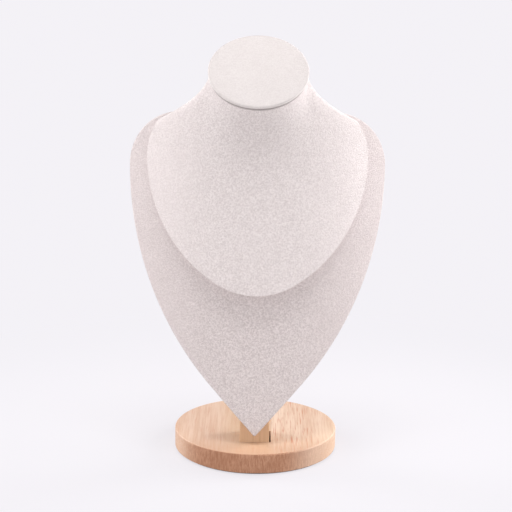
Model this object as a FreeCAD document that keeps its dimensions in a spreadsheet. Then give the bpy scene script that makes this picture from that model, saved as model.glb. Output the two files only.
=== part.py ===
"""Necklace display stand: a fabric-covered bust on a short wooden post and a round wooden base.

Lengths are millimetres and angles are degrees. X runs to the right, Y to the back and Z up.
The origin is the middle of the base's underside, on the table.

The bust has an upright frame of its own: its origin is the tip of the V on the panel's front
face, with depth along Y and height along Z. The whole bust, its post and its screws are made in
that frame, and then lean back together by one angle.
"""

import FreeCAD, Part
import math
import os

import Sketcher

doc = FreeCAD.newDocument("necklace_stand")
sheet = doc.addObject("Spreadsheet::Sheet", "Sizes")

# Driving sizes: name, value, what it is
SIZES = [
    ("base_diameter", 140.0, "wooden base, across"),
    ("base_thickness", 17.0, "wooden base, without the felt"),
    ("base_edge", 1.2, "rounding of the base's two edges"),
    ("felt_thickness", 1.0, "felt under the base"),
    ("felt_inset", 2.5, "felt's edge inside the base's edge"),
    ("post_size", 25.0, "square post, across its flats"),
    ("post_edge", 1.0, "eased long edges of the post"),
    ("mortise_depth", 12.0, "how far the post stands in the base"),
    ("mortise_gap", 1.4, "slack of the mortise, on the right and behind"),
    ("lean", 10.0, "how far the bust leans back"),
    ("tip_forward", 50.0, "tip of the V in front of the base's middle"),
    ("tip_clearance", 8.5, "tip of the V above the base's top"),
    ("panel_thickness", 10.0, "covered back panel"),
    ("panel_radius", 173.0, "bend of the panel's front face"),
    ("panel_half_width", 109.5, "middle to edge, at the widest"),
    ("panel_wide_height", 228.5, "height of the widest place above the tip"),
    ("panel_straight", 56.0, "straight stretch of each side, next to the tip"),
    ("panel_shoulder_radius", 44.0, "rounded shoulder of the panel"),
    ("panel_blunt", 0.2, "radius of the V's tip, beyond the rounding of the edge"),
    ("panel_edge", 1.2, "rounding where the fabric wraps the panel's edge"),
    ("chest_rim", 15.8, "rim of the panel that shows beside the chest"),
    ("chest_rise", 7.5, "chest's widest place above the panel's widest place"),
    ("hem_drop", 109.2, "bottom of the raised chest below the panel's widest place"),
    ("hem_radius", 64.0, "curve at the bottom of the chest"),
    ("chest_shoulder_radius", 50.0, "upper corner of the chest's outline"),
    ("chest_proud", 9.0, "chest in front of the panel, at the middle"),
    ("chest_side_proud", 2.2, "chest in front of the panel, at its widest place"),
    ("neck_rise", 33.7, "middle of the neck cap above the panel's top"),
    ("neck_forward", 3.2, "middle of the neck cap in front of the panel's face"),
    ("neck_tilt", 48.0, "slant of the neck cap in the bust's frame"),
    ("cap_diameter", 84.0, "neck cap, across"),
    ("cap_thickness", 3.0, "neck cap"),
    ("cap_edge", 1.2, "rounding of the cap's rim"),
    ("cap_overhang", 1.5, "cap's rim outside the neck"),
    ("ridge_inset", 3.5, "where the shoulder line would run out, inside the panel's widest place"),
    ("ridge_drop", 17.5, "where the shoulder line would run out, below the panel's top"),
    ("shoulder_roll", 2.0, "how far the shoulder line rolls back"),
    ("nape_hollow", 3.0, "hollow of the neck's back"),
    ("collar_depth", 52.0, "how far back the foot of the neck spreads"),
    ("collar_drop", 20.0, "how far the spread runs down behind the shoulder line"),
    ("screw_shank", 4.0, "wood screws, shank"),
    ("screw_head", 8.0, "wood screws, countersunk head"),
    ("screw_point", 5.0, "wood screws, tapered point"),
    ("screw_slack", 0.1, "room round a screw in its hole"),
    ("recess_width", 1.0, "cross recess, width of a wing"),
    ("recess_depth", 1.6, "cross recess, depth"),
    ("base_screw_length", 32.0, "screw through the base"),
    ("panel_screw_length", 32.0, "screws through the post"),
    ("panel_screw_low", 60.0, "lower panel screw above the tip"),
    ("panel_screw_drop", 62.5, "upper panel screw below the panel's top"),
]
for row, (name, value, note) in enumerate(SIZES, start=1):
    sheet.set(f"A{row}", name)
    sheet.set(f"B{row}", str(value))
    sheet.set(f"C{row}", note)
    sheet.setAlias(f"B{row}", name)
doc.recompute()

size = {name: float(getattr(sheet, name)) for name, _, _ in SIZES}
size["chest_half_width"] = size["panel_half_width"] - size["chest_rim"]
size["chest_wide_height"] = size["panel_wide_height"] + size["chest_rise"]
size["hem_height"] = size["panel_wide_height"] - size["hem_drop"]
size["panel_top"] = size["panel_wide_height"] + size["panel_shoulder_radius"]
size["neck_height"] = size["panel_top"] + size["neck_rise"]
size["ridge_height"] = size["panel_top"] - size["ridge_drop"]
size["ridge_half_width"] = size["panel_half_width"] - size["ridge_inset"]

# Places that several pieces share, as expressions on the sheet
PANEL_TOP = "(Sizes.panel_wide_height + Sizes.panel_shoulder_radius)"
# The post's flat front meets the panel's hollow back along its two eased edges
POST_FRONT = (
    "(Sizes.panel_radius - sqrt((Sizes.panel_radius - Sizes.panel_thickness) ^ 2"
    " - (Sizes.post_size / 2 - Sizes.post_edge) ^ 2))"
)
BASE_TOP = "(Sizes.felt_thickness + Sizes.base_thickness)"
TIP_HEIGHT = f"({BASE_TOP} + Sizes.tip_clearance)"
MORTISE_FLOOR = f"({BASE_TOP} - Sizes.mortise_depth)"
POST_MIDDLE = f"({POST_FRONT} + Sizes.post_size / 2)"
POST_START = "(2 * Sizes.base_thickness + Sizes.tip_clearance)"
BUST_MIDDLE = "(-Sizes.mortise_gap / 2)"
SIDE_RADIUS = (
    "((Sizes.panel_half_width ^ 2 + Sizes.panel_wide_height ^ 2 - Sizes.panel_straight ^ 2)"
    " / (2 * Sizes.panel_half_width))"
)
CHEST_HALF_WIDTH = "(Sizes.panel_half_width - Sizes.chest_rim)"
CHEST_WIDE_HEIGHT = "(Sizes.panel_wide_height + Sizes.chest_rise)"
HEM_HEIGHT = "(Sizes.panel_wide_height - Sizes.hem_drop)"
NECK_HEIGHT = f"({PANEL_TOP} + Sizes.neck_rise)"
FAR = "(2 * Sizes.panel_wide_height)"


def bind(thing, **expressions):
    """Binds properties to expressions; two underscores stand for a dot."""
    for path, expression in expressions.items():
        thing.setExpression(path.replace("__", "."), expression)
    return thing


def place(thing, x="0", y="0", z="0"):
    """Binds a place without turning the object."""
    return bind(thing, Placement__Base__x=x, Placement__Base__y=y, Placement__Base__z=z)


def lean(thing, x="0", depth="0", height="0", turn="0"):
    """Puts a thing of the bust's frame on the stand, leaning back; turn tilts it forward first.

    The post stands against the left wall of its mortise, so the bust is that much off the middle.
    """
    thing.Placement = FreeCAD.Placement(FreeCAD.Vector(0, 0, 0), FreeCAD.Rotation(FreeCAD.Vector(1, 0, 0), 1))
    place(
        thing,
        f"{x} + {BUST_MIDDLE}",
        f"({depth}) * cos(Sizes.lean) + ({height}) * sin(Sizes.lean) - Sizes.tip_forward",
        f"({height}) * cos(Sizes.lean) - ({depth}) * sin(Sizes.lean) + {TIP_HEIGHT}",
    )
    return bind(thing, Placement__Rotation__Angle=f"{turn} - Sizes.lean")


def box(name, length, width, height, x="0", y="0", z="0"):
    block = doc.addObject("Part::Box", name)
    bind(block, Length=length, Width=width, Height=height)
    return place(block, x, y, z)


def cylinder(name, radius, height, x="0", y="0", z="0"):
    rod = doc.addObject("Part::Cylinder", name)
    bind(rod, Radius=radius, Height=height)
    return place(rod, x, y, z)


def cut(name, base, tool):
    result = doc.addObject("Part::Cut", name)
    result.Base = base
    result.Tool = tool
    return result


def common(name, base, tool):
    result = doc.addObject("Part::Common", name)
    result.Base = base
    result.Tool = tool
    return result


def fuse(name, shapes):
    result = doc.addObject("Part::MultiFuse", name)
    result.Shapes = shapes
    return result


def plane(body, role):
    """One of a body's own origin planes."""
    return next(item for item in body.Origin.OriginFeatures if item.Role == role)


def sketch_on(body, name, role):
    sketch = body.newObject("Sketcher::SketchObject", name)
    sketch.AttachmentSupport = [(plane(body, role), "")]
    sketch.MapMode = "FlatFace"
    return sketch


def disc(name, radius, thickness, rounding):
    """A round board with both edges rounded, lying on the XY plane."""
    body = doc.addObject("PartDesign::Body", name)
    sketch = sketch_on(body, name + "_circle", "XY_Plane")
    circle = sketch.addGeometry(Part.Circle(FreeCAD.Vector(0, 0, 0), FreeCAD.Vector(0, 0, 1), 10), False)
    sketch.addConstraint(Sketcher.Constraint("Coincident", circle, 3, -1, 1))
    sketch.addConstraint(Sketcher.Constraint("Radius", circle, 10))
    sketch.renameConstraint(1, "radius")
    sketch.setExpression("Constraints.radius", radius)
    pad = body.newObject("PartDesign::Pad", name + "_board")
    pad.Profile = sketch
    bind(pad, Length=thickness)
    doc.recompute()
    rims = [f"Edge{i + 1}" for i, edge in enumerate(pad.Shape.Edges) if len(edge.Vertexes) == 1]
    eased = body.newObject("PartDesign::Fillet", name + "_edges")
    eased.Base = (pad, rims)
    bind(eased, Radius=rounding)
    return body


def bar(name, side, length, rounding):
    """A square bar standing on the XY plane, its long edges rounded."""
    body = doc.addObject("PartDesign::Body", name)
    sketch = sketch_on(body, name + "_square", "XY_Plane")
    corners = [FreeCAD.Vector(x, y, 0) for x, y in ((-5, -5), (5, -5), (5, 5), (-5, 5))]
    lines = [
        sketch.addGeometry(Part.LineSegment(corners[i], corners[(i + 1) % 4]), False) for i in range(4)
    ]
    for i, line in enumerate(lines):
        sketch.addConstraint(Sketcher.Constraint("Coincident", line, 2, lines[(i + 1) % 4], 1))
        sketch.addConstraint(Sketcher.Constraint("Horizontal" if i % 2 == 0 else "Vertical", line))
    sketch.addConstraint(Sketcher.Constraint("Symmetric", lines[0], 1, lines[1], 2, -1, 1))
    fix(sketch, "DistanceX", "width", side, lines[0], 1, lines[0], 2, 10)
    fix(sketch, "DistanceY", "depth", side, lines[1], 1, lines[1], 2, 10)
    pad = body.newObject("PartDesign::Pad", name + "_length")
    pad.Profile = sketch
    bind(pad, Length=length)
    doc.recompute()
    upright = [
        f"Edge{i + 1}" for i, edge in enumerate(pad.Shape.Edges)
        if abs(edge.tangentAt(edge.FirstParameter).z) > 0.5
    ]
    eased = body.newObject("PartDesign::Fillet", name + "_edges")
    eased.Base = (pad, upright)
    bind(eased, Radius=rounding)
    return body


def rounded(name, shape, radius, wanted):
    """A body made of another object's solid, with its wanted edges rounded."""
    body = doc.addObject("PartDesign::Body", name)
    body.BaseFeature = shape
    doc.recompute()
    start = body.Group[0]
    edges = [f"Edge{i + 1}" for i, edge in enumerate(start.Shape.Edges) if wanted(edge)]
    eased = body.newObject("PartDesign::Fillet", name + "_edges")
    eased.Base = (start, edges)
    bind(eased, Radius=radius)
    return body


def vector(x, height):
    """A point of an outline in a sketch on the XZ plane."""
    return FreeCAD.Vector(x, height, 0)


def arc(centre, radius, start, end):
    """An arc from one direction to another, in degrees from the sketch's first axis."""
    circle = Part.Circle(centre, FreeCAD.Vector(0, 0, 1), radius)
    return Part.ArcOfCircle(circle, math.radians(start), math.radians(end))


def fix(sketch, kind, name, expression, *where):
    """Adds a driving dimension, bound to the sheet."""
    index = sketch.addConstraint(Sketcher.Constraint(kind, *where))
    sketch.renameConstraint(index, name)
    sketch.setExpression("Constraints." + name, expression)


def mirrored_prism(name, draw):
    """A prism through the bust with a symmetric outline; draw() puts its right half in a sketch."""
    body = doc.addObject("PartDesign::Body", name)
    sketch = sketch_on(body, name + "_half", "XZ_Plane")
    draw(sketch)
    pad = body.newObject("PartDesign::Pad", name + "_right")
    pad.Profile = sketch
    pad.Midplane = True
    bind(pad, Length="2 * Sizes.panel_radius")
    mirror = body.newObject("PartDesign::Mirrored", name + "_both")
    mirror.Originals = [pad]
    mirror.MirrorPlane = (plane(body, "YZ_Plane"), [""])
    mirror.Refine = True
    body.Tip = mirror
    return body


def draw_panel(sketch):
    """Right half of the V: blunt tip, straight stretch, long side curve, shoulder and flat top."""
    wide, wide_height = size["panel_half_width"], size["panel_wide_height"]
    straight, shoulder = size["panel_straight"], size["panel_shoulder_radius"]
    tip = size["panel_edge"] + size["panel_blunt"]
    side = (wide * wide + wide_height * wide_height - straight * straight) / (2 * wide)
    side_centre = vector(wide - side, wide_height)
    # The line from the tip touches the side curve; slope is its angle from the level
    slope = math.pi / 2 - math.atan2(wide_height, side - wide) + math.atan2(straight, side)
    touch_angle = 270 + math.degrees(slope)
    start = vector(tip * math.sin(slope), tip - tip * math.cos(slope))
    touch = vector(straight * math.cos(slope), straight * math.sin(slope))
    pieces = [
        arc(vector(0, tip), tip, 270, touch_angle),
        Part.LineSegment(start, touch),
        arc(side_centre, side, touch_angle, 360),
        arc(vector(wide - shoulder, wide_height), shoulder, 0, 90),
        Part.LineSegment(vector(wide - shoulder, wide_height + shoulder), vector(0, wide_height + shoulder)),
        Part.LineSegment(vector(0, wide_height + shoulder), vector(0, 0)),
    ]
    blunt, line, side_arc, corner, top, middle = [sketch.addGeometry(p, False) for p in pieces]
    add = sketch.addConstraint
    add(Sketcher.Constraint("Coincident", middle, 2, -1, 1))
    add(Sketcher.Constraint("PointOnObject", middle, 1, -2))
    add(Sketcher.Constraint("PointOnObject", blunt, 3, -2))
    add(Sketcher.Constraint("Coincident", blunt, 1, middle, 2))
    add(Sketcher.Constraint("Tangent", blunt, 2, line, 1))
    add(Sketcher.Constraint("Tangent", line, 2, side_arc, 1))
    add(Sketcher.Constraint("Tangent", side_arc, 2, corner, 1))
    add(Sketcher.Constraint("Tangent", corner, 2, top, 1))
    add(Sketcher.Constraint("Horizontal", top))
    add(Sketcher.Constraint("Coincident", top, 2, middle, 1))
    add(Sketcher.Constraint("Horizontal", corner, 3, corner, 1))
    fix(sketch, "Radius", "tip_radius", "Sizes.panel_edge + Sizes.panel_blunt", blunt, tip)
    fix(sketch, "Radius", "side_radius", SIDE_RADIUS, side_arc, side)
    fix(sketch, "Radius", "shoulder_radius", "Sizes.panel_shoulder_radius", corner, shoulder)
    fix(sketch, "DistanceX", "half_width", "Sizes.panel_half_width", -1, 1, corner, 1, wide)
    fix(sketch, "DistanceY", "wide_height", "Sizes.panel_wide_height", -1, 1, corner, 1, wide_height)


def draw_chest(sketch):
    """Right half of the raised chest's outline; above the shoulder it stays clear of the neck."""
    wide, wide_height = size["chest_half_width"], size["chest_wide_height"]
    hem, hem_radius = size["hem_height"], size["hem_radius"]
    shoulder = size["chest_shoulder_radius"]
    rise = wide_height - hem - hem_radius
    side = (wide * wide + rise * rise - hem_radius * hem_radius) / (2 * (wide - hem_radius))
    side_centre = vector(wide - side, wide_height)
    join_angle = 360 - math.degrees(math.atan2(rise, side - wide))
    corner_end = 45
    corner_x = wide - shoulder + shoulder * math.cos(math.radians(corner_end))
    corner_height = wide_height + shoulder * math.sin(math.radians(corner_end))
    clear = 2 * size["panel_wide_height"]
    pieces = [
        arc(vector(0, hem + hem_radius), hem_radius, 270, join_angle),
        arc(side_centre, side, join_angle, 360),
        arc(vector(wide - shoulder, wide_height), shoulder, 0, corner_end),
        Part.LineSegment(vector(corner_x, corner_height), vector(corner_x, clear)),
        Part.LineSegment(vector(corner_x, clear), vector(0, clear)),
        Part.LineSegment(vector(0, clear), vector(0, hem)),
    ]
    hem_arc, side_arc, corner, up, top, middle = [sketch.addGeometry(p, False) for p in pieces]
    add = sketch.addConstraint
    add(Sketcher.Constraint("PointOnObject", middle, 2, -2))
    add(Sketcher.Constraint("PointOnObject", middle, 1, -2))
    add(Sketcher.Constraint("PointOnObject", hem_arc, 3, -2))
    add(Sketcher.Constraint("Coincident", hem_arc, 1, middle, 2))
    add(Sketcher.Constraint("Tangent", hem_arc, 2, side_arc, 1))
    add(Sketcher.Constraint("Tangent", side_arc, 2, corner, 1))
    add(Sketcher.Constraint("Horizontal", corner, 3, corner, 1))
    add(Sketcher.Constraint("Coincident", corner, 2, up, 1))
    add(Sketcher.Constraint("Vertical", up))
    add(Sketcher.Constraint("Coincident", up, 2, top, 1))
    add(Sketcher.Constraint("Horizontal", top))
    add(Sketcher.Constraint("Coincident", top, 2, middle, 1))
    fix(sketch, "DistanceY", "hem_height", HEM_HEIGHT, -1, 1, hem_arc, 1, hem)
    fix(sketch, "Radius", "hem_radius", "Sizes.hem_radius", hem_arc, hem_radius)
    fix(sketch, "Radius", "shoulder_radius", "Sizes.chest_shoulder_radius", corner, shoulder)
    fix(sketch, "DistanceX", "half_width", CHEST_HALF_WIDTH, -1, 1, corner, 1, wide)
    fix(sketch, "DistanceY", "wide_height", CHEST_WIDE_HEIGHT, -1, 1, corner, 1, wide_height)
    fix(sketch, "DistanceX", "corner_reach", "Sizes.chest_shoulder_radius * cos(45)", corner, 3, corner, 2,
        shoulder * math.cos(math.radians(corner_end)))
    fix(sketch, "DistanceY", "clear_height", FAR, -1, 1, up, 2, clear)


def chest_depth(x):
    """Depth of the chest's front face at a distance from the middle: the panel's bend and the step."""
    radius = size["panel_radius"]
    middle, side = size["chest_proud"], size["chest_side_proud"]
    step = middle - (middle - side) * (x / size["chest_half_width"]) ** 2
    return radius - math.sqrt(radius * radius - x * x) - step


def closed_curve(points):
    """A smooth closed curve with evenly spaced parameters, so that sections match each other."""
    curve = Part.BSplineCurve()
    even = [i / len(points) for i in range(len(points) + 1)]
    curve.interpolate(Points=points, PeriodicFlag=True, Parameters=even)
    return Part.Wire([curve.toShape()])


def chest_section(along, count=24):
    """A closed curve round the neck and chest: along is 0 under the cap and 1 outside the hem.

    From the neck's round top the form widens along parabolas, and its depth fades from the
    slanted neck to the bent face of the chest. Behind the shoulder line it is the nape.
    """
    tilt = math.radians(size["neck_tilt"])
    neck = size["cap_diameter"] / 2 - size["cap_overhang"]
    centre_depth = -size["neck_forward"] + size["cap_thickness"] * math.sin(tilt)
    centre_height = size["neck_height"] - size["cap_thickness"] * math.cos(tilt)
    reach = size["ridge_height"] - size["hem_height"] + size["chest_proud"]
    fade = (1 - along) ** 7
    points = []
    for step in range(count):
        angle = math.pi + 2 * math.pi * step / count
        forward = math.cos(angle)
        side = math.sin(angle)
        neck_x = neck * side
        neck_depth = centre_depth - neck * forward * math.cos(tilt)
        neck_up = centre_height - neck * forward * math.sin(tilt)
        x = neck_x + (size["ridge_half_width"] * side - neck_x) * along**2
        if forward >= 0:
            end_up = size["ridge_height"] - reach * forward
            roll = size["shoulder_roll"] * (1 - forward) ** 6 * (1 - fade)
            depth = chest_depth(x) + (neck_depth - chest_depth(neck_x)) * fade + roll
        else:
            end_up = size["ridge_height"] + size["collar_drop"] * forward
            ridge_x = neck + (size["ridge_half_width"] - neck) * along**2
            ridge = chest_depth(ridge_x) + (centre_depth - chest_depth(neck)) * fade
            ridge += size["shoulder_roll"] * (1 - fade)
            nape_start = centre_depth + neck * math.cos(tilt)
            nape = nape_start + (size["collar_depth"] - nape_start) * along**2
            nape -= size["nape_hollow"] * 4 * along * (1 - along)
            depth = ridge - (nape - ridge) * forward
        rise = neck_up - centre_height
        fall = (1 - along) if forward >= 0 else (1 - along) ** 2
        up = centre_height + (end_up - centre_height) * along + rise * fall
        points.append(FreeCAD.Vector(x, depth, up))
    return closed_curve(points), points


def chest_block():
    """The neck-and-chest form before it is trimmed to its outline and its back."""
    stations = [0, 0.06, 0.13, 0.22, 0.34, 0.5, 0.7, 0.85, 1]
    wires = [chest_section(along)[0] for along in stations]
    last = chest_section(1)[1]
    far = size["panel_wide_height"] / 2
    rear = closed_curve([FreeCAD.Vector(p.x, far, p.z) for p in last])
    skin = Part.makeLoft(wires, False, False)
    skirt = Part.makeLoft([wires[-1], rear], False, True)
    shell = Part.Shell(skin.Faces + skirt.Faces + [Part.Face(wires[0]), Part.Face(rear)])
    shell.sewShape()
    solid = Part.Solid(shell)
    if solid.Volume < 0:
        solid.reverse()
    return solid


def wood_screw(name, length, slack="0", recess=True):
    """A countersunk screw along +Z with its head's flat face on the XY plane."""
    head = doc.addObject("Part::Cone", name + "_head")
    bind(
        head,
        Radius1=f"Sizes.screw_head / 2 + {slack}",
        Radius2=f"Sizes.screw_shank / 2 + {slack}",
        Height="(Sizes.screw_head - Sizes.screw_shank) / 2",
    )
    shank = cylinder(name + "_shank", f"Sizes.screw_shank / 2 + {slack}", f"{length} - Sizes.screw_point")
    point = doc.addObject("Part::Cone", name + "_point")
    bind(
        point,
        Radius1=f"Sizes.screw_shank / 2 + {slack}",
        Radius2=f"Sizes.screw_shank / 8 + {slack}",
        Height=f"Sizes.screw_point + {slack}",
    )
    place(point, z=f"{length} - Sizes.screw_point")
    screw = fuse(name + "_blank", [head, shank, point])
    screw.Refine = True
    if not recess:
        return screw
    wing = "Sizes.screw_head / 2"
    across = box(
        name + "_wing_a", wing, "Sizes.recess_width", "Sizes.recess_depth",
        x=f"-{wing} / 2", y="-Sizes.recess_width / 2",
    )
    along = box(
        name + "_wing_b", "Sizes.recess_width", wing, "Sizes.recess_depth",
        x="-Sizes.recess_width / 2", y=f"-{wing} / 2",
    )
    cross = fuse(name + "_cross", [across, along])
    return cut(name + "_driven", screw, cross)


# Base: round board, slanted mortise with a level floor, countersunk hole from below
board = disc("base_board", "Sizes.base_diameter / 2", "Sizes.base_thickness", "Sizes.base_edge")
place(board, z="Sizes.felt_thickness")
below_mortise = box(
    "below_mortise", "Sizes.base_diameter", "Sizes.base_diameter", "Sizes.base_diameter",
    x="-Sizes.base_diameter / 2", y="-Sizes.base_diameter / 2", z=f"{MORTISE_FLOOR} - Sizes.base_diameter",
)
mortise_bar = doc.addObject("Part::Box", "mortise_bar")
bind(
    mortise_bar,
    Length="Sizes.post_size + Sizes.mortise_gap",
    Width="Sizes.post_size + Sizes.mortise_gap",
    Height=f"2 * {POST_START}",
)
lean(mortise_bar, "-Sizes.post_size / 2", POST_FRONT, f"-{POST_START}")
mortise = cut("mortise", mortise_bar, below_mortise)
base_hole = wood_screw("base_hole", "Sizes.base_screw_length", "Sizes.screw_slack", recess=False)
base_screw = wood_screw("base_screw", "Sizes.base_screw_length")
for item in (base_hole, base_screw):
    place(
        item,
        x=BUST_MIDDLE,
        y=f"{POST_MIDDLE} / cos(Sizes.lean) + ({MORTISE_FLOOR} - {TIP_HEIGHT}) * tan(Sizes.lean) - Sizes.tip_forward",
        z="Sizes.felt_thickness",
    )
base = cut("base", cut("base_mortised", board, mortise), base_hole)

base_felt = cylinder("base_felt", "Sizes.base_diameter / 2 - Sizes.felt_inset", "Sizes.felt_thickness")

# Screws through the post into the panel, heads flush with the post's back
screw_heights = ["Sizes.panel_screw_low", f"{PANEL_TOP} - Sizes.panel_screw_drop"]
panel_holes = []
panel_screws = []
for number, height in enumerate(screw_heights, start=1):
    hole = wood_screw(f"panel_hole_{number}", "Sizes.panel_screw_length", "Sizes.screw_slack", recess=False)
    screw = wood_screw(f"panel_screw_{number}", "Sizes.panel_screw_length")
    for item in (hole, screw):
        lean(item, depth=f"{POST_FRONT} + Sizes.post_size", height=height, turn="90")
    panel_holes.append(hole)
    panel_screws.append(screw)
panel_hole_pair = fuse("panel_hole_pair", panel_holes)
screw_pair = doc.addObject("Part::Compound", "panel_screws")
screw_pair.Links = panel_screws

# Post: eased square bar, its foot cut level in the mortise, its top square under the neck's foot
post_bar = bar("post_bar", "Sizes.post_size", f"{POST_START} + {PANEL_TOP}", "Sizes.post_edge")
lean(post_bar, depth=POST_MIDDLE, height=f"-{POST_START}")
post_drilled = cut("post_drilled", cut("post_footed", post_bar, below_mortise), base_hole)
post = cut("post", post_drilled, panel_hole_pair)

# Back panel: a bent board with the V's outline and rounded edges
outline = mirrored_prism("panel_outline", draw_panel)
bent_front = cylinder(
    "bent_front", "Sizes.panel_radius", FAR, y="Sizes.panel_radius", z=f"-{FAR} / 4"
)
bent_back = cylinder(
    "bent_back", "Sizes.panel_radius - Sizes.panel_thickness", FAR, y="Sizes.panel_radius", z=f"-{FAR} / 4"
)
bent_board = common("bent_board", cut("bend", bent_front, bent_back), outline)
wrapped = rounded("wrapped_panel", bent_board, "Sizes.panel_edge", lambda edge: True)
back_panel = cut("back_panel", lean(wrapped), panel_hole_pair)

# Neck and chest: one lofted form, trimmed to its outline, hollowed to the panel's bent face
block = doc.addObject("Part::Feature", "chest_block")
block.Shape = chest_block()
chest_outline = mirrored_prism("chest_outline", draw_chest)
behind_panel = cylinder(
    "behind_panel", "Sizes.panel_radius", f"{PANEL_TOP} + {FAR} / 4", y="Sizes.panel_radius", z=f"-{FAR} / 4"
)
chest_form = lean(cut("chest_form", common("chest_trimmed", block, chest_outline), behind_panel))

# Cap on the neck's slanted top
neck_cap = disc("neck_cap", "Sizes.cap_diameter / 2", "Sizes.cap_thickness", "Sizes.cap_edge")
lean(
    neck_cap,
    depth="Sizes.cap_thickness * sin(Sizes.neck_tilt) - Sizes.neck_forward",
    height=f"{NECK_HEIGHT} - Sizes.cap_thickness * cos(Sizes.neck_tilt)",
    turn="Sizes.neck_tilt",
)

nodes = {
    "base": base,
    "base_felt": base_felt,
    "base_screw": base_screw,
    "post": post,
    "panel_screws": screw_pair,
    "back_panel": back_panel,
    "chest_form": chest_form,
    "neck_cap": neck_cap,
}
for name, item in nodes.items():
    item.Label = name

doc.recompute()
for item in doc.Objects:
    bad = [state for state in item.State if state in ("Invalid", "Error")]
    if bad:
        raise RuntimeError(f"{item.Label} failed: {bad}")
for name, item in nodes.items():
    if item.Shape.isNull() or not item.Shape.isValid():
        raise RuntimeError(f"{name} has no valid shape")

os.makedirs("parts", exist_ok=True)
for name, item in nodes.items():
    item.Shape.exportStep(f"parts/{name}.step")
    box_of = item.Shape.BoundBox
    print(
        f"{name}: {len(item.Shape.Solids)} solid, {item.Shape.Volume / 1000:.1f} cm3, "
        f"X {box_of.XMin:.1f} to {box_of.XMax:.1f}, Y {box_of.YMin:.1f} to {box_of.YMax:.1f}, "
        f"Z {box_of.ZMin:.1f} to {box_of.ZMax:.1f}"
    )
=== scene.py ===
"""Necklace display stand: finishes, light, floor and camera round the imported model, in metres."""

import math

import bpy
from mathutils import Matrix, Vector

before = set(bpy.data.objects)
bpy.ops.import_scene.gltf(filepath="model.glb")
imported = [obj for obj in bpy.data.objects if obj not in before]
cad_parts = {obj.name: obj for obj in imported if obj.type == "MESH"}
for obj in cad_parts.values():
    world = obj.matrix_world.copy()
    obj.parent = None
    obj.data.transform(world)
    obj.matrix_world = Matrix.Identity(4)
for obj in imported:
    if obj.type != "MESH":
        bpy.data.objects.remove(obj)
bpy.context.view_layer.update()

# The photograph's viewpoint
PHOTO_WIDTH = 512
FOCAL_LENGTH_PX = 1474
SENSOR_MM = 36
CAMERA_PLACE = Vector((-0.0011, -1.218, 0.472))
CAMERA_PITCH = math.radians(13.9)
CAMERA_ROLL = math.radians(0.65)

# The floor's half width, and how far from the stand it begins and ends to turn into evenly bright paper
FLOOR_HALF = 12
FLOOR_NEAR = 0.10
FLOOR_FAR = 0.42
FLOOR_GLOW = 0.72

# The soft boxes: name, place, width and height, and watts. All point at one place in the bust.
LAMPS_AIM = Vector((0, -0.02, 0.2))
LAMPS = (
    ("overhead", (0, -0.15, 0.95), (0.6, 0.2), 3.3),
    ("left_softbox", (-0.75, 0.33, 0.4), (0.3, 0.6), 4.2),
    ("left_front_softbox", (-0.75, -0.3, 0.35), (0.3, 0.6), 1.1),
    ("right_softbox", (0.75, 0.33, 0.4), (0.3, 0.6), 5.6),
    ("right_side_softbox", (0.8, 0, 0.4), (0.3, 0.6), 1.9),
    ("front_fill", (0, -0.8, 0.06), (0.6, 0.1), 1.5),
)
AMBIENT_STRENGTH = 0.605

# How far the bust leans back
LEAN = math.radians(10)

# How far the chest's hem is rounded off, and the sharpest bend that isn't
HEM_ROUNDING = 0.0012
HEM_ANGLE = math.radians(50)
WELD_DISTANCE = 0.00002

# Fabric: noise scales of its mottling, patches, grain and nap, and the heights of the last two
MOTTLE_SCALE = 38
PATCH_SCALE = 190
GRAIN_SCALE = 640
NAP_SCALE = 1500
GRAIN_HEIGHT = 0.0004
NAP_HEIGHT = 0.0003

# How strongly the grain shows in the fabric's colour, as its own tone and as painted shade in its pits and
# painted highlight on its crests
GRAIN_TONE_AND_SHADING = 0.5

# The grain's colour, with its painted shade and highlight, shows fully within the first distance from the
# middle, where the side light grazes the fabric, and at half strength past the second
GRAIN_SHADING_MIDDLE = 0.025
GRAIN_SHADING_SIDE = 0.085

# Painted shade: a band on the neck just under the cap for the shadow in the gap under its rim, and a fine
# line just inside the cap's rim for the shade at the rim
UNDER_CAP_SHADE_WIDTH = 0.0030
CAP_LINE_RADIUS = 0.0412
CAP_LINE_WIDTH = 0.0005
PAINTED_LINE_STRENGTH = 0.75

# Each covered piece's scale of the one fabric's colour, partly its own lightness and partly painted light
# and shade: the cap darker where it faces the overhead light, the panel redder as painted bounce light. Then
# the relief of its grain
CHEST_PAINTED_LIGHT = (1.13, 1.115, 1.115)
CHEST_RELIEF = 1.15
PANEL_PAINTED_LIGHT = (1.085, 1.048, 1.048)
PANEL_RELIEF = 1.4
CAP_PAINTED_SHADE = (0.85, 0.86, 0.855)
CAP_RELIEF = 0.45

# Where the base's two boards meet, to the right of the middle, how soft that line is, and its waver
BOARD_JOINT = 0.011
JOINT_SOFTNESS = 0.005
JOINT_WAVER = 0.0012

# Stretches of the base across it or along it: the left board gets yellower towards the joint, the red pores
# thin out to the right, the wood is darkened towards the front as painted shade, and the rim's end grain
# fades to the right
YELLOWING_STRETCH = (-0.040, -0.012)
PORES_THIN = (0.036, 0.060)
PAINTED_SHADE_FRONT = (-0.070, -0.022)
PALE_RIM = (0.02, 0.055)

# How much each wood noise is scaled across the base, along it and upwards
WAVER_NOISE = (6, 14, 6)
FIBRE_NOISE = (640, 20, 640)
PORE_NOISE = (1050, 42, 1050)
BAND_NOISE = (36, 3, 40)
TONE_NOISE = (13, 5, 13)
SPECK_NOISE = (1100, 60, 160)
RING_NOISE = (70, 8, 150)
RING_TILT = 0.35

# The same for the post, with the last number along it
POST_FIBRE_NOISE = (520, 520, 10)
POST_VEIN_NOISE = (260, 260, 14)
POST_ARCH_NOISE = (9, 60, 4.5)

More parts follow.
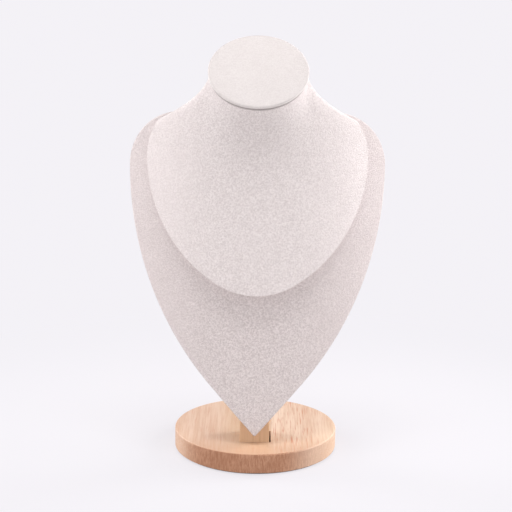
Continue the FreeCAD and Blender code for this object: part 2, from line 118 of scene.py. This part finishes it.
# Colours, as linear red, green and blue
FABRIC = (0.825, 0.757, 0.748)
FABRIC_SHADE = (0.70, 0.628, 0.622)
# Pit and crest: the grain's own tone, with painted shade in its pits and painted highlight on its crests
FABRIC_PIT_TONE_AND_SHADE = (0.56, 0.50, 0.495)
FABRIC_CREST_TONE_AND_HIGHLIGHT = (0.90, 0.85, 0.84)
FABRIC_TIGHT = (0.72, 0.665, 0.655)
# Painted shade colours: the band under the neck cap, and the line at the cap's rim
FABRIC_UNDER_CAP_SHADE = (0.27, 0.225, 0.22)
FABRIC_CAP_RIM_SHADE = (0.60, 0.55, 0.54)
WOOD_LEFT = (0.735, 0.54, 0.42)
WOOD_RIGHT = (0.84, 0.665, 0.53)
WOOD_YELLOW = (0.60, 0.42, 0.26)
WOOD_DARK = (0.57, 0.34, 0.22)
WOOD_RED = (0.56, 0.22, 0.13)
END_LIGHT = (0.48, 0.25, 0.15)
END_DARK = (0.32, 0.135, 0.07)
POST_LIGHT = (0.70, 0.465, 0.30)
POST_DARK = (0.53, 0.325, 0.185)
POST_VEIN = (0.27, 0.14, 0.065)
FELT = (0.045, 0.035, 0.03)
FELT_TUFT = (0.09, 0.075, 0.065)
STEEL = (0.55, 0.55, 0.56)
AMBIENT = (1.0, 0.985, 0.99)
BACKDROP = (0.905, 0.885, 0.925)
FLOOR_BOUNCE = (0.62, 0.61, 0.62)
FLOOR_SEEN = (0.70, 0.68, 0.705)


class Nodes:
    """Builds the nodes of one material or world step by step."""

    def __init__(self, owner):
        owner.use_nodes = True
        self.owner = owner
        self.tree = owner.node_tree

    def put(self, socket, value):
        """Links an output to the socket, or sets the socket's own value."""
        if isinstance(value, bpy.types.NodeSocket):
            self.tree.links.new(value, socket)
        elif isinstance(value, tuple) and len(value) == 3 and len(socket.default_value) == 4:
            socket.default_value = (*value, 1)
        else:
            socket.default_value = value

    def add(self, kind, **values):
        """A node; values are settings of the node or, where it has none of that name, of its inputs."""
        node = self.tree.nodes.new(kind)
        for name, value in values.items():
            if hasattr(node, name):
                setattr(node, name, value)
            else:
                self.put(node.inputs[name.replace("_", " ")], value)
        return node

    def place(self, scale=(1, 1, 1), turn=(0, 0, 0)):
        """The point on the object in metres, turned and then stretched."""
        where = self.add("ShaderNodeTexCoord")
        turned = self.add("ShaderNodeMapping", vector_type="POINT", Rotation=turn)
        self.put(turned.inputs["Vector"], where.outputs["Object"])
        mapped = self.add("ShaderNodeMapping", vector_type="POINT", Scale=scale)
        self.put(mapped.inputs["Vector"], turned.outputs["Vector"])
        return mapped.outputs["Vector"]

    def parts(self, vector):
        """A vector's x, y and z."""
        node = self.add("ShaderNodeSeparateXYZ")
        self.put(node.inputs[0], vector)
        return tuple(node.outputs)

    def noise(self, vector, scale=1.0, detail=2.0, roughness=0.5, distortion=0.0):
        node = self.add("ShaderNodeTexNoise", Scale=scale, Detail=detail, Roughness=roughness,
                        Distortion=distortion)
        self.put(node.inputs["Vector"], vector)
        return node.outputs["Fac"]

    def ramp(self, value, low, high, to_low=0.0, to_high=1.0):
        """Maps low..high of a number to to_low..to_high, smoothly and clamped."""
        node = self.add("ShaderNodeMapRange", interpolation_type="SMOOTHSTEP")
        self.put(node.inputs["Value"], value)
        for name, number in (("From Min", low), ("From Max", high), ("To Min", to_low), ("To Max", to_high)):
            self.put(node.inputs[name], number)
        return node.outputs["Result"]

    def calc(self, operation, first, second=0.0):
        """A calculation with numbers."""
        node = self.add("ShaderNodeMath", operation=operation)
        self.put(node.inputs[0], first)
        self.put(node.inputs[1], second)
        return node.outputs[0]

    def vector(self, operation, first, second=(0, 0, 0)):
        """The outputs of a calculation with vectors."""
        node = self.add("ShaderNodeVectorMath", operation=operation)
        self.put(node.inputs[0], first)
        self.put(node.inputs[1], second)
        return node.outputs

    def mix(self, factor, first, second):
        """Mixes two colours, which are the seventh and eighth of the node's many inputs."""
        node = self.add("ShaderNodeMix", data_type="RGBA")
        self.put(node.inputs[0], factor)
        self.put(node.inputs[6], first)
        self.put(node.inputs[7], second)
        return node.outputs[2]

    def bump(self, height, distance, strength=1.0, below=None):
        """A normal raised by the height, on top of another bump if there is one below."""
        node = self.add("ShaderNodeBump", Strength=strength, Distance=distance)
        self.put(node.inputs["Height"], height)
        if below is not None:
            self.put(node.inputs["Normal"], below)
        return node.outputs["Normal"]

    def set(self, **values):
        """Sets sockets of the material's shader, such as Base_Color."""
        shader = self.tree.nodes["Principled BSDF"]
        for name, value in values.items():
            self.put(shader.inputs[name.replace("_", " ")], value)

    def show(self, factor, first, second):
        """Sends a mix of two shaders to the output."""
        node = self.add("ShaderNodeMixShader")
        self.put(node.inputs[0], factor)
        self.put(node.inputs[1], first)
        self.put(node.inputs[2], second)
        output = next(each for each in self.tree.nodes if each.type.startswith("OUTPUT"))
        self.put(output.inputs["Surface"], node.outputs[0])


def new_material(name):
    return Nodes(bpy.data.materials.new(name))


def cap_plane():
    """The neck cap's outward direction, its middle, and how far its underside lies from that middle."""
    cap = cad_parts["neck_cap"].data
    widest = max(cap.polygons, key=lambda face: face.area * (face.normal.z > 0))
    facing = widest.normal.copy()
    middle = sum((vertex.co for vertex in cap.vertices), Vector()) / len(cap.vertices)
    underside = min((vertex.co - middle).dot(facing) for vertex in cap.vertices)
    return facing, middle, underside


def from_cap(m):
    """How far a point is from the cap's middle, along the cap's axis and out from it."""
    facing, middle, _ = cap_plane()
    away = m.vector("SUBTRACT", m.place(), middle)["Vector"]
    along = m.vector("DOT_PRODUCT", away, facing)["Value"]
    squared = m.calc("POWER", m.vector("LENGTH", away)["Value"], 2.0)
    outward = m.calc("POWER", m.calc("SUBTRACT", squared, m.calc("MULTIPLY", along, along)), 0.5)
    return along, outward


def under_cap_painted_shade(m):
    """1 on a band of the neck just under the cap, where painted shade stands for the shadow in the gap under
    the cap's rim.
    """
    along, _ = from_cap(m)
    underside = cap_plane()[2]
    return m.ramp(along, underside - UNDER_CAP_SHADE_WIDTH, underside - UNDER_CAP_SHADE_WIDTH / 2)


def cap_rim_painted_shade(m):
    """1 on a fine line just inside the cap's rim, where painted shade stands for the shade at the rim."""
    _, outward = from_cap(m)
    from_line = m.calc("ABSOLUTE", m.calc("SUBTRACT", outward, CAP_LINE_RADIUS))
    return m.ramp(from_line, 0.0, CAP_LINE_WIDTH, 1.0, 0.0)


def side_of(m, facing):
    """1 where a face looks sideways from the given direction, which is where fabric is wrapped round."""
    normal = m.add("ShaderNodeNewGeometry").outputs["True Normal"]
    towards = m.vector("DOT_PRODUCT", normal, facing)["Value"]
    return m.ramp(m.calc("ABSOLUTE", towards), 0.35, 0.62, 1.0, 0.0)


def looks_along(m, axis):
    """How much a face looks along one axis of the object, from 0 to 1."""
    normal = m.add("ShaderNodeNewGeometry").outputs["True Normal"]
    return m.calc("ABSOLUTE", m.parts(normal)[axis])


def suede(name, shade, relief, wrapped=None, line=None, painted_shade_tone=None):
    """Short-napped suede-like fabric: soft mottling, a pebbled grain with painted shade in its pits and
    painted highlights on its crests, and a slight sheen.

    shade scales the fabric's colour, partly as the piece's own lightness and partly as painted light and
    shade.
    relief sets the height of its grain and how strongly the grain's painted shading shows. wrapped is the
    direction that the covered piece faces: round its edge the fabric is pulled tight and has one even tone
    under its grain. line makes the mask of a fine line of painted shade, such as the shade under the neck
    cap.
    """
    m = new_material(name)
    tones = (FABRIC, FABRIC_SHADE, FABRIC_PIT_TONE_AND_SHADE, FABRIC_CREST_TONE_AND_HIGHLIGHT)
    # Scaling every tone by the piece's shade paints in the light and shade that piece gets
    light, dark, pit_tone_and_shade, crest_tone_and_highlight = (tuple(part * by for part, by in zip(tone, shade)) for tone in tones)
    where = m.place()
    mottle = m.noise(where, scale=MOTTLE_SCALE, detail=3, roughness=0.6)
    patch = m.noise(where, scale=PATCH_SCALE, detail=2, roughness=0.6)
    grain = m.ramp(m.noise(where, scale=GRAIN_SCALE, detail=4, roughness=0.9), 0.26, 0.74)
    nap = m.noise(where, scale=NAP_SCALE, detail=1)
    soft = m.mix(m.ramp(mottle, 0.3, 0.7, 0.0, 0.25), light, dark)
    soft = m.mix(m.ramp(patch, 0.35, 0.7, 0.0, 0.18), soft, dark)
    if wrapped:
        soft = m.mix(side_of(m, wrapped), soft, FABRIC_TIGHT)
    from_middle = m.calc("ABSOLUTE", m.parts(where)[0])
    # Painted grain shading, strongest near the middle, where the side light grazes the fabric
    grain_shading_weight = m.ramp(from_middle, GRAIN_SHADING_MIDDLE, GRAIN_SHADING_SIDE, relief, 0.5 * relief)
    pebbles_and_shading = m.mix(m.ramp(grain, 0.15, 0.85), pit_tone_and_shade, crest_tone_and_highlight)
    soft = m.mix(m.calc("MULTIPLY", grain_shading_weight, GRAIN_TONE_AND_SHADING), soft, pebbles_and_shading)
    # A line, where given, is painted shade mixed into the colour
    if line:
        soft = m.mix(m.calc("MULTIPLY", line(m), PAINTED_LINE_STRENGTH), soft, painted_shade_tone)
    bumps = m.bump(grain, GRAIN_HEIGHT * relief)
    bumps = m.bump(nap, NAP_HEIGHT * relief, 0.8, bumps)
    m.set(Base_Color=soft, Roughness=0.93, Normal=bumps)
    m.set(Sheen_Weight=0.15, Sheen_Roughness=0.5, Specular_IOR_Level=0.15)
    return m.owner


def long_grain(m, fibres, pores):
    """Two glued boards of pale wood, grained front to back, the right one with red pores."""
    across, along, _ = m.parts(m.place())
    waver = m.ramp(m.noise(m.place(WAVER_NOISE), detail=1), 0.2, 0.8, -JOINT_WAVER, JOINT_WAVER)
    right_board = m.ramp(m.calc("ADD", across, waver), BOARD_JOINT, BOARD_JOINT + JOINT_SOFTNESS)
    bands = m.noise(m.place(BAND_NOISE), detail=2, roughness=0.5, distortion=0.5)
    tone = m.noise(m.place(TONE_NOISE), detail=1)
    wood = m.mix(right_board, WOOD_LEFT, WOOD_RIGHT)
    wood = m.mix(m.ramp(bands, 0.36, 0.68, 0.0, 0.40), wood, WOOD_DARK)
    wood = m.mix(m.ramp(fibres, 0.38, 0.64, 0.0, 0.46), wood, WOOD_DARK)
    wood = m.mix(m.ramp(tone, 0.42, 0.64, 0.0, 0.35), wood, WOOD_YELLOW)
    # The left board turns yellower towards the joint, fully so where the post stands
    yellowing = m.calc("MULTIPLY", m.ramp(across, *YELLOWING_STRETCH), m.calc("SUBTRACT", 1.0, right_board))
    wood = m.mix(m.calc("MULTIPLY", yellowing, 0.6), wood, WOOD_YELLOW)
    # Painted shade: the wood darkens towards the front of the base
    wood = m.mix(m.ramp(along, *PAINTED_SHADE_FRONT, 0.85, 0.0), wood, WOOD_DARK)
    streaked = m.calc("MULTIPLY", right_board, m.ramp(across, *PORES_THIN, 1.0, 0.2))
    pore_depth = m.calc("MULTIPLY", m.ramp(pores, 0.56, 0.70), m.ramp(streaked, 0.0, 1.0, 0.20, 0.72))
    return m.mix(pore_depth, wood, WOOD_RED)


def end_grain(m):
    """The cut ends of the fibres, on the front and back of the base's rim."""
    specks = m.noise(m.place(SPECK_NOISE), detail=3, roughness=0.7)
    rings = m.noise(m.place(RING_NOISE, (0, RING_TILT, 0)), detail=3, roughness=0.6)
    wood = m.mix(m.ramp(specks, 0.36, 0.62), END_DARK, END_LIGHT)
    wood = m.mix(m.ramp(rings, 0.35, 0.65, 0.0, 0.5), wood, END_DARK)
    across = m.parts(m.place())[0]
    return m.mix(m.ramp(across, *PALE_RIM, 0.0, 0.45), wood, WOOD_RIGHT)


def base_wood(name):
    """Pale oiled wood, a little darker round the rim, with end grain where the fibres are cut."""
    m = new_material(name)
    fibres = m.noise(m.place(FIBRE_NOISE), detail=4, roughness=0.65, distortion=0.15)
    pores = m.noise(m.place(PORE_NOISE), detail=1, roughness=0.4)
    rim = m.ramp(looks_along(m, 2), 0.3, 0.7, 1.0, 0.0)
    ends = m.ramp(looks_along(m, 1), 0.35, 0.80)
    wood = m.mix(m.calc("MULTIPLY", rim, 0.30), long_grain(m, fibres, pores), WOOD_DARK)
    wood = m.mix(m.calc("MULTIPLY", ends, 0.92), wood, end_grain(m))
    relief = m.bump(fibres, 0.00016, 0.6)
    relief = m.bump(pores, 0.00025, 0.5, relief)
    m.set(Base_Color=wood, Roughness=m.ramp(fibres, 0.3, 0.7, 0.50, 0.66), Normal=relief)
    m.set(Specular_IOR_Level=0.35)
    return m.owner


def post_wood(name):
    """Wood with its grain along the leaning post, in long pointed arches."""
    m = new_material(name)
    turn = (LEAN, 0, 0)
    fibres = m.noise(m.place(POST_FIBRE_NOISE, turn), detail=4, roughness=0.65)
    veins = m.noise(m.place(POST_VEIN_NOISE, turn), detail=2, roughness=0.5)
    arches = m.add("ShaderNodeTexWave", wave_type="RINGS", rings_direction="X", wave_profile="SIN",
                   Scale=2.6, Distortion=2.5, Detail=2.0, Detail_Scale=1.5)
    m.put(arches.inputs["Vector"], m.place(POST_ARCH_NOISE, turn))
    wood = m.mix(m.ramp(arches.outputs["Fac"], 0.2, 0.8, 0.0, 0.45), POST_LIGHT, POST_DARK)
    wood = m.mix(m.ramp(fibres, 0.38, 0.64, 0.0, 0.45), wood, POST_DARK)
    wood = m.mix(m.ramp(veins, 0.56, 0.70, 0.0, 0.6), wood, POST_VEIN)
    relief = m.bump(fibres, 0.00015, 0.6)
    m.set(Base_Color=wood, Roughness=0.58, Normal=relief, Specular_IOR_Level=0.35)
    return m.owner


def felt(name):
    """Dark pressed felt with short tufts."""
    m = new_material(name)
    tufts = m.noise(m.place(), scale=1600, detail=4, roughness=0.7)
    m.set(Base_Color=m.mix(m.ramp(tufts, 0.3, 0.7), FELT, FELT_TUFT), Roughness=1.0)
    m.set(Normal=m.bump(tufts, 0.0005, 0.8), Sheen_Weight=0.3, Specular_IOR_Level=0.1)
    return m.owner


def steel(name):
    """Zinc-plated screw steel with fine turning marks."""
    m = new_material(name)
    marks = m.noise(m.place(), scale=3000, detail=2)
    m.set(Base_Color=STEEL, Metallic=1.0, Roughness=m.ramp(marks, 0.3, 0.7, 0.26, 0.42))
    m.set(Normal=m.bump(marks, 0.00003, 0.4))
    return m.owner


def dress():
    """Gives every node its finish."""
    bust_front = (0, -math.cos(LEAN), math.sin(LEAN))
    cap_front = tuple(cap_plane()[0])
    screws = steel("screw_steel")
    finishes = {
        "base": base_wood("base_wood"),
        "base_felt": felt("felt"),
        "base_screw": screws,
        "post": post_wood("post_wood"),
        "panel_screws": screws,
        # The suede finishes are one fabric in lit and shaded copies, made by their painted light scales
        "back_panel": suede("panel_suede", PANEL_PAINTED_LIGHT, PANEL_RELIEF, wrapped=bust_front),
        # The chest's band under the cap and the cap's line at its rim are painted shade
        "chest_form": suede("raised_suede", CHEST_PAINTED_LIGHT, CHEST_RELIEF, line=under_cap_painted_shade,
                            painted_shade_tone=FABRIC_UNDER_CAP_SHADE),
        "neck_cap": suede("cap_suede", CAP_PAINTED_SHADE, CAP_RELIEF, wrapped=cap_front, line=cap_rim_painted_shade,
                          painted_shade_tone=FABRIC_CAP_RIM_SHADE),
    }
    for name, finish in finishes.items():
        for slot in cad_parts[name].material_slots:
            slot.material = finish


def soften_hem():
    """Rounds the hem and the other sharp edges of the chest, as padding under fabric does."""
    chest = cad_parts["chest_form"]
    weld = chest.modifiers.new("join_faces", "WELD")
    weld.merge_threshold = WELD_DISTANCE
    rounding = chest.modifiers.new("soft_hem", "BEVEL")
    rounding.width = HEM_ROUNDING
    rounding.segments = 3
    rounding.limit_method = "ANGLE"
    rounding.angle_limit = HEM_ANGLE
    shading = chest.modifiers.new("smooth_shading", "WEIGHTED_NORMAL")
    shading.keep_sharp = False


def seen_rays(m, path):
    """1 for the camera's rays, and for those that metal and glass send on."""
    sent_on = m.calc("MAXIMUM", path["Is Glossy Ray"], path["Is Transmission Ray"])
    return m.calc("MAXIMUM", path["Is Camera Ray"], sent_on)


def make_floor():
    """A pale floor that keeps the stand's soft shadow near it and is as even as paper further out."""
    mesh = bpy.data.meshes.new("floor")
    corners = [(-FLOOR_HALF, -FLOOR_HALF, 0), (FLOOR_HALF, -FLOOR_HALF, 0),
               (FLOOR_HALF, FLOOR_HALF, 0), (-FLOOR_HALF, FLOOR_HALF, 0)]
    mesh.from_pydata(corners, [], [(0, 1, 2, 3)])
    floor = bpy.data.objects.new("floor", mesh)
    bpy.context.collection.objects.link(floor)
    m = new_material("floor")
    path = m.add("ShaderNodeLightPath").outputs
    m.set(Base_Color=m.mix(path["Is Camera Ray"], FLOOR_BOUNCE, FLOOR_SEEN), Roughness=1.0)
    m.set(Specular_IOR_Level=0.0)
    from_stand = m.vector("LENGTH", m.place())["Value"]
    paper = m.ramp(from_stand, FLOOR_NEAR, FLOOR_FAR, FLOOR_GLOW, 1.0)
    glow = m.add("ShaderNodeEmission", Color=BACKDROP, Strength=1.0)
    shader = m.tree.nodes["Principled BSDF"]
    m.show(m.calc("MULTIPLY", seen_rays(m, path), paper), shader.outputs[0], glow.outputs[0])
    mesh.materials.append(m.owner)


def make_world():
    """Soft ambient light, which the camera, metal and glass see as the pale backdrop."""
    world = bpy.data.worlds.new("studio")
    bpy.context.scene.world = world
    m = Nodes(world)
    ambient = m.tree.nodes["Background"]
    m.put(ambient.inputs["Color"], AMBIENT)
    m.put(ambient.inputs["Strength"], AMBIENT_STRENGTH)
    backdrop = m.add("ShaderNodeBackground", Color=BACKDROP)
    path = m.add("ShaderNodeLightPath").outputs
    m.show(seen_rays(m, path), ambient.outputs[0], backdrop.outputs[0])


def make_lamp(name, place, size, power):
    """A soft box of the given width and height, in white light."""
    lamp = bpy.data.lights.new(name, "AREA")
    lamp.shape = "RECTANGLE"
    lamp.size, lamp.size_y = size
    lamp.energy = power
    holder = bpy.data.objects.new(name, lamp)
    bpy.context.collection.objects.link(holder)
    holder.location = place
    holder.rotation_mode = "QUATERNION"
    holder.rotation_quaternion = (Vector(place) - LAMPS_AIM).to_track_quat("Z", "Y")
    holder.visible_camera = False


def make_camera():
    """The photograph's viewpoint, with its slight roll."""
    right = Vector((1, 0, 0))
    up = Vector((0, math.sin(CAMERA_PITCH), math.cos(CAMERA_PITCH)))
    back = Vector((0, -math.cos(CAMERA_PITCH), math.sin(CAMERA_PITCH)))
    rolled_right = right * math.cos(CAMERA_ROLL) + up * math.sin(CAMERA_ROLL)
    rolled_up = up * math.cos(CAMERA_ROLL) - right * math.sin(CAMERA_ROLL)
    data = bpy.data.cameras.new("camera")
    data.sensor_width = SENSOR_MM
    data.lens = FOCAL_LENGTH_PX / PHOTO_WIDTH * SENSOR_MM
    camera = bpy.data.objects.new("camera", data)
    bpy.context.collection.objects.link(camera)
    turn = Matrix((rolled_right, rolled_up, back)).transposed().to_4x4()
    camera.matrix_world = Matrix.Translation(CAMERA_PLACE) @ turn
    bpy.context.scene.camera = camera


dress()
soften_hem()
make_floor()
make_world()
for lamp_facts in LAMPS:
    make_lamp(*lamp_facts)
make_camera()
bpy.context.scene.view_settings.view_transform = "Standard"
